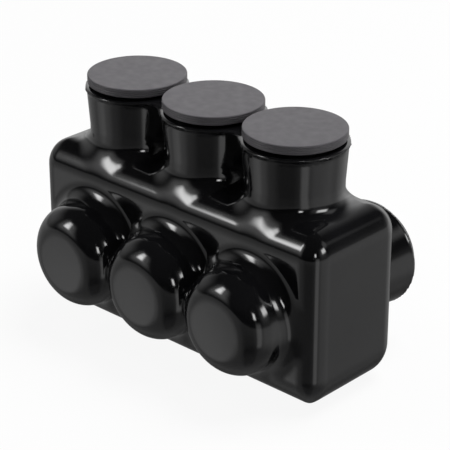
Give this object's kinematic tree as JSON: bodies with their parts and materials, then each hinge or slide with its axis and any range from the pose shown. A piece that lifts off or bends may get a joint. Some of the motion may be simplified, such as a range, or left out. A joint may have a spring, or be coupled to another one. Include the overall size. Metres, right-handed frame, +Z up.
{
  "type": "insulated multi-tap connector",
  "caption": "Insulated multi-tap wire connector: a dip-moulded black cover over an aluminium bar, with closed domes in front, wire sleeves behind and capped set-screw chimneys on top.",
  "frame": {"origin": "centre of the cover's flat underside, below the middle tap's screw axis", "axes": "+X along the row of taps, +Y out of the wire sleeves, +Z up the screw chimneys; the closed domes face -Y"},
  "size_m": [0.089, 0.0587, 0.0624],
  "materials": {
    "cover_plastisol": "gloss black plastisol",
    "bar_aluminium": "extruded and bored, tin-plated",
    "screw_aluminium": "turned, tin-plated",
    "cap_rubber": "matte dark grey moulded"
  },
  "bodies": {
    "connector": {"jacket": "cover_plastisol", "terminal_block": "bar_aluminium"},
    "set_screw_1": {"set_screw_1": "screw_aluminium"},
    "set_screw_2": {"set_screw_2": "screw_aluminium"},
    "set_screw_3": {"set_screw_3": "screw_aluminium"},
    "screw_cap_1": {"screw_cap_1": "cap_rubber"},
    "screw_cap_2": {"screw_cap_2": "cap_rubber"},
    "screw_cap_3": {"screw_cap_3": "cap_rubber"},
    "port_plug_1": {"port_plug_1": "cap_rubber"},
    "port_plug_2": {"port_plug_2": "cap_rubber"},
    "port_plug_3": {"port_plug_3": "cap_rubber"}
  },
  "joints": [
    {"name": "set_screw_1_drive", "type": "slide", "parent": "connector", "child": "set_screw_1", "axis": [0, 0, -1], "range_m": [0, 0.0145]},
    {"name": "set_screw_2_drive", "type": "slide", "parent": "connector", "child": "set_screw_2", "axis": [0, 0, -1], "range_m": [0, 0.0145]},
    {"name": "set_screw_3_drive", "type": "slide", "parent": "connector", "child": "set_screw_3", "axis": [0, 0, -1], "range_m": [0, 0.0145]},
    {"name": "screw_cap_1_pull", "type": "slide", "parent": "connector", "child": "screw_cap_1", "axis": [0, 0, 1], "range_m": [0, 0.03]},
    {"name": "screw_cap_2_pull", "type": "slide", "parent": "connector", "child": "screw_cap_2", "axis": [0, 0, 1], "range_m": [0, 0.03]},
    {"name": "screw_cap_3_pull", "type": "slide", "parent": "connector", "child": "screw_cap_3", "axis": [0, 0, 1], "range_m": [0, 0.03]},
    {"name": "port_plug_1_pull", "type": "slide", "parent": "connector", "child": "port_plug_1", "axis": [0, 1, 0], "range_m": [0, 0.04]},
    {"name": "port_plug_2_pull", "type": "slide", "parent": "connector", "child": "port_plug_2", "axis": [0, 1, 0], "range_m": [0, 0.04]},
    {"name": "port_plug_3_pull", "type": "slide", "parent": "connector", "child": "port_plug_3", "axis": [0, 1, 0], "range_m": [0, 0.04]}
  ]
}
